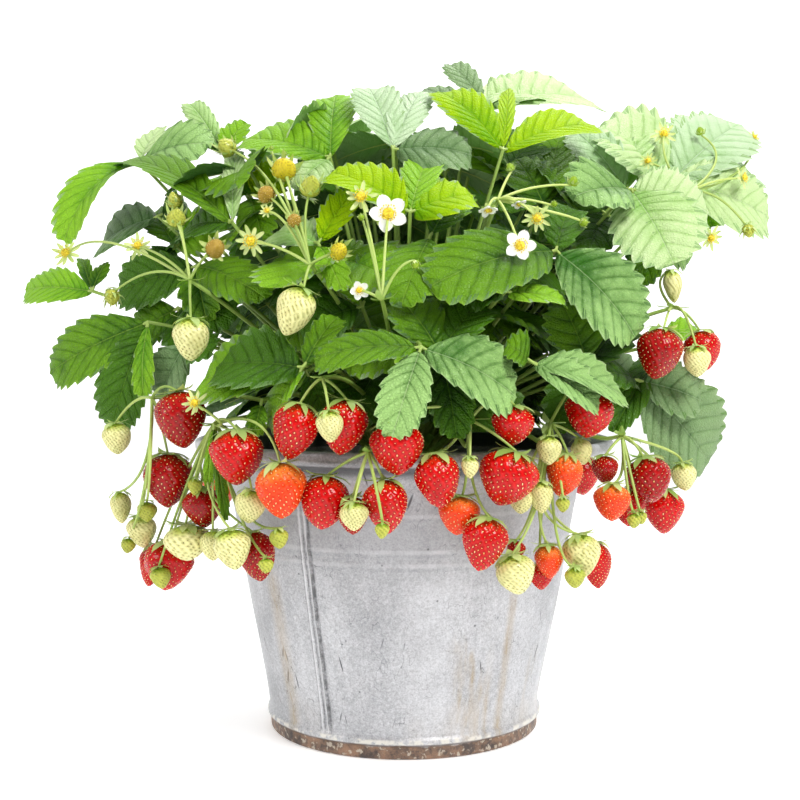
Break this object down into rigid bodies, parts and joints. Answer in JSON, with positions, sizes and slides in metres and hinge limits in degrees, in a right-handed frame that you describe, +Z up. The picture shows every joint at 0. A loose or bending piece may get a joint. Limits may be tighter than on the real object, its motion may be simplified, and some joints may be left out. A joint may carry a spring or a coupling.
{
  "type": "potted strawberry plant",
  "caption": "Fruiting strawberry plant in a round galvanised steel bucket: dome of three-part toothed leaves, flowers, and ripe and unripe berries hanging over the rim.",
  "frame": {"origin": "on the bucket's axis, at the ground that its foot ring stands on", "axes": "+Z up along the bucket's axis, -Y toward the front where most berries hang, +X to the right seen from the front"},
  "size_m": [0.4808, 0.324, 0.407],
  "materials": {
    "galvanised_steel": "galvanised, mottled grey with rust stains",
    "potting_soil": "matt crumbly",
    "green_stem": "satin, finely hairy",
    "green_leaf": "satin with sunken veins",
    "ripe_berry": "glossy",
    "half_ripe_berry": "glossy"
  },
  "bodies": {
    "root": {"berry_01": "ripe_berry", "berry_02": "ripe_berry", "berry_03": "ripe_berry", "berry_04": "ripe_berry", "berry_05": "ripe_berry", "berry_06": "ripe_berry", "berry_07": "ripe_berry", "berry_08": "ripe_berry", "berry_10": "ripe_berry", "berry_11": "half_ripe_berry", "berry_13": "ripe_berry", "berry_15": "half_ripe_berry", "berry_16": "ripe_berry", "berry_17": "ripe_berry", "berry_18": "ripe_berry", "berry_19": "half_ripe_berry", "berry_20": "ripe_berry", "berry_21": "ripe_berry", "berry_22": "ripe_berry", "bucket": "galvanised_steel", "crown": "green_stem", "leaf_back": "green_leaf", "leaf_back_high": "green_leaf", "leaf_back_left": "green_leaf", "leaf_back_low": "green_leaf", "leaf_back_right": "green_leaf", "leaf_centre": "green_leaf", "leaf_far_left": "green_leaf", "leaf_front": "green_leaf", "leaf_front_left": "green_leaf", "leaf_front_under": "green_leaf", "leaf_left": "green_leaf", "leaf_left_dark": "green_leaf", "leaf_left_long": "green_leaf", "leaf_left_pale": "green_leaf", "leaf_right": "green_leaf", "leaf_right_far": "green_leaf", "leaf_right_fold": "green_leaf", "leaf_right_low": "green_leaf", "leaf_right_pale": "green_leaf", "leaf_top": "green_leaf", "leaf_top_blue": "green_leaf", "leaf_top_left": "green_leaf", "leaf_yellow": "green_leaf", "potting_soil": "potting_soil", "truss_back_left": "green_stem", "truss_back_right": "green_stem", "truss_centre": "green_stem", "truss_centre_left": "green_stem", "truss_centre_right": "green_stem", "truss_front": "green_stem", "truss_front_left": "green_stem", "truss_front_right": "green_stem", "truss_left_hang": "green_stem", "truss_left_high": "green_stem", "truss_left_low": "green_stem", "truss_right": "green_stem", "truss_right_hang": "green_stem", "truss_right_high": "green_stem", "truss_right_low": "green_stem"}
  },
  "joints": []
}
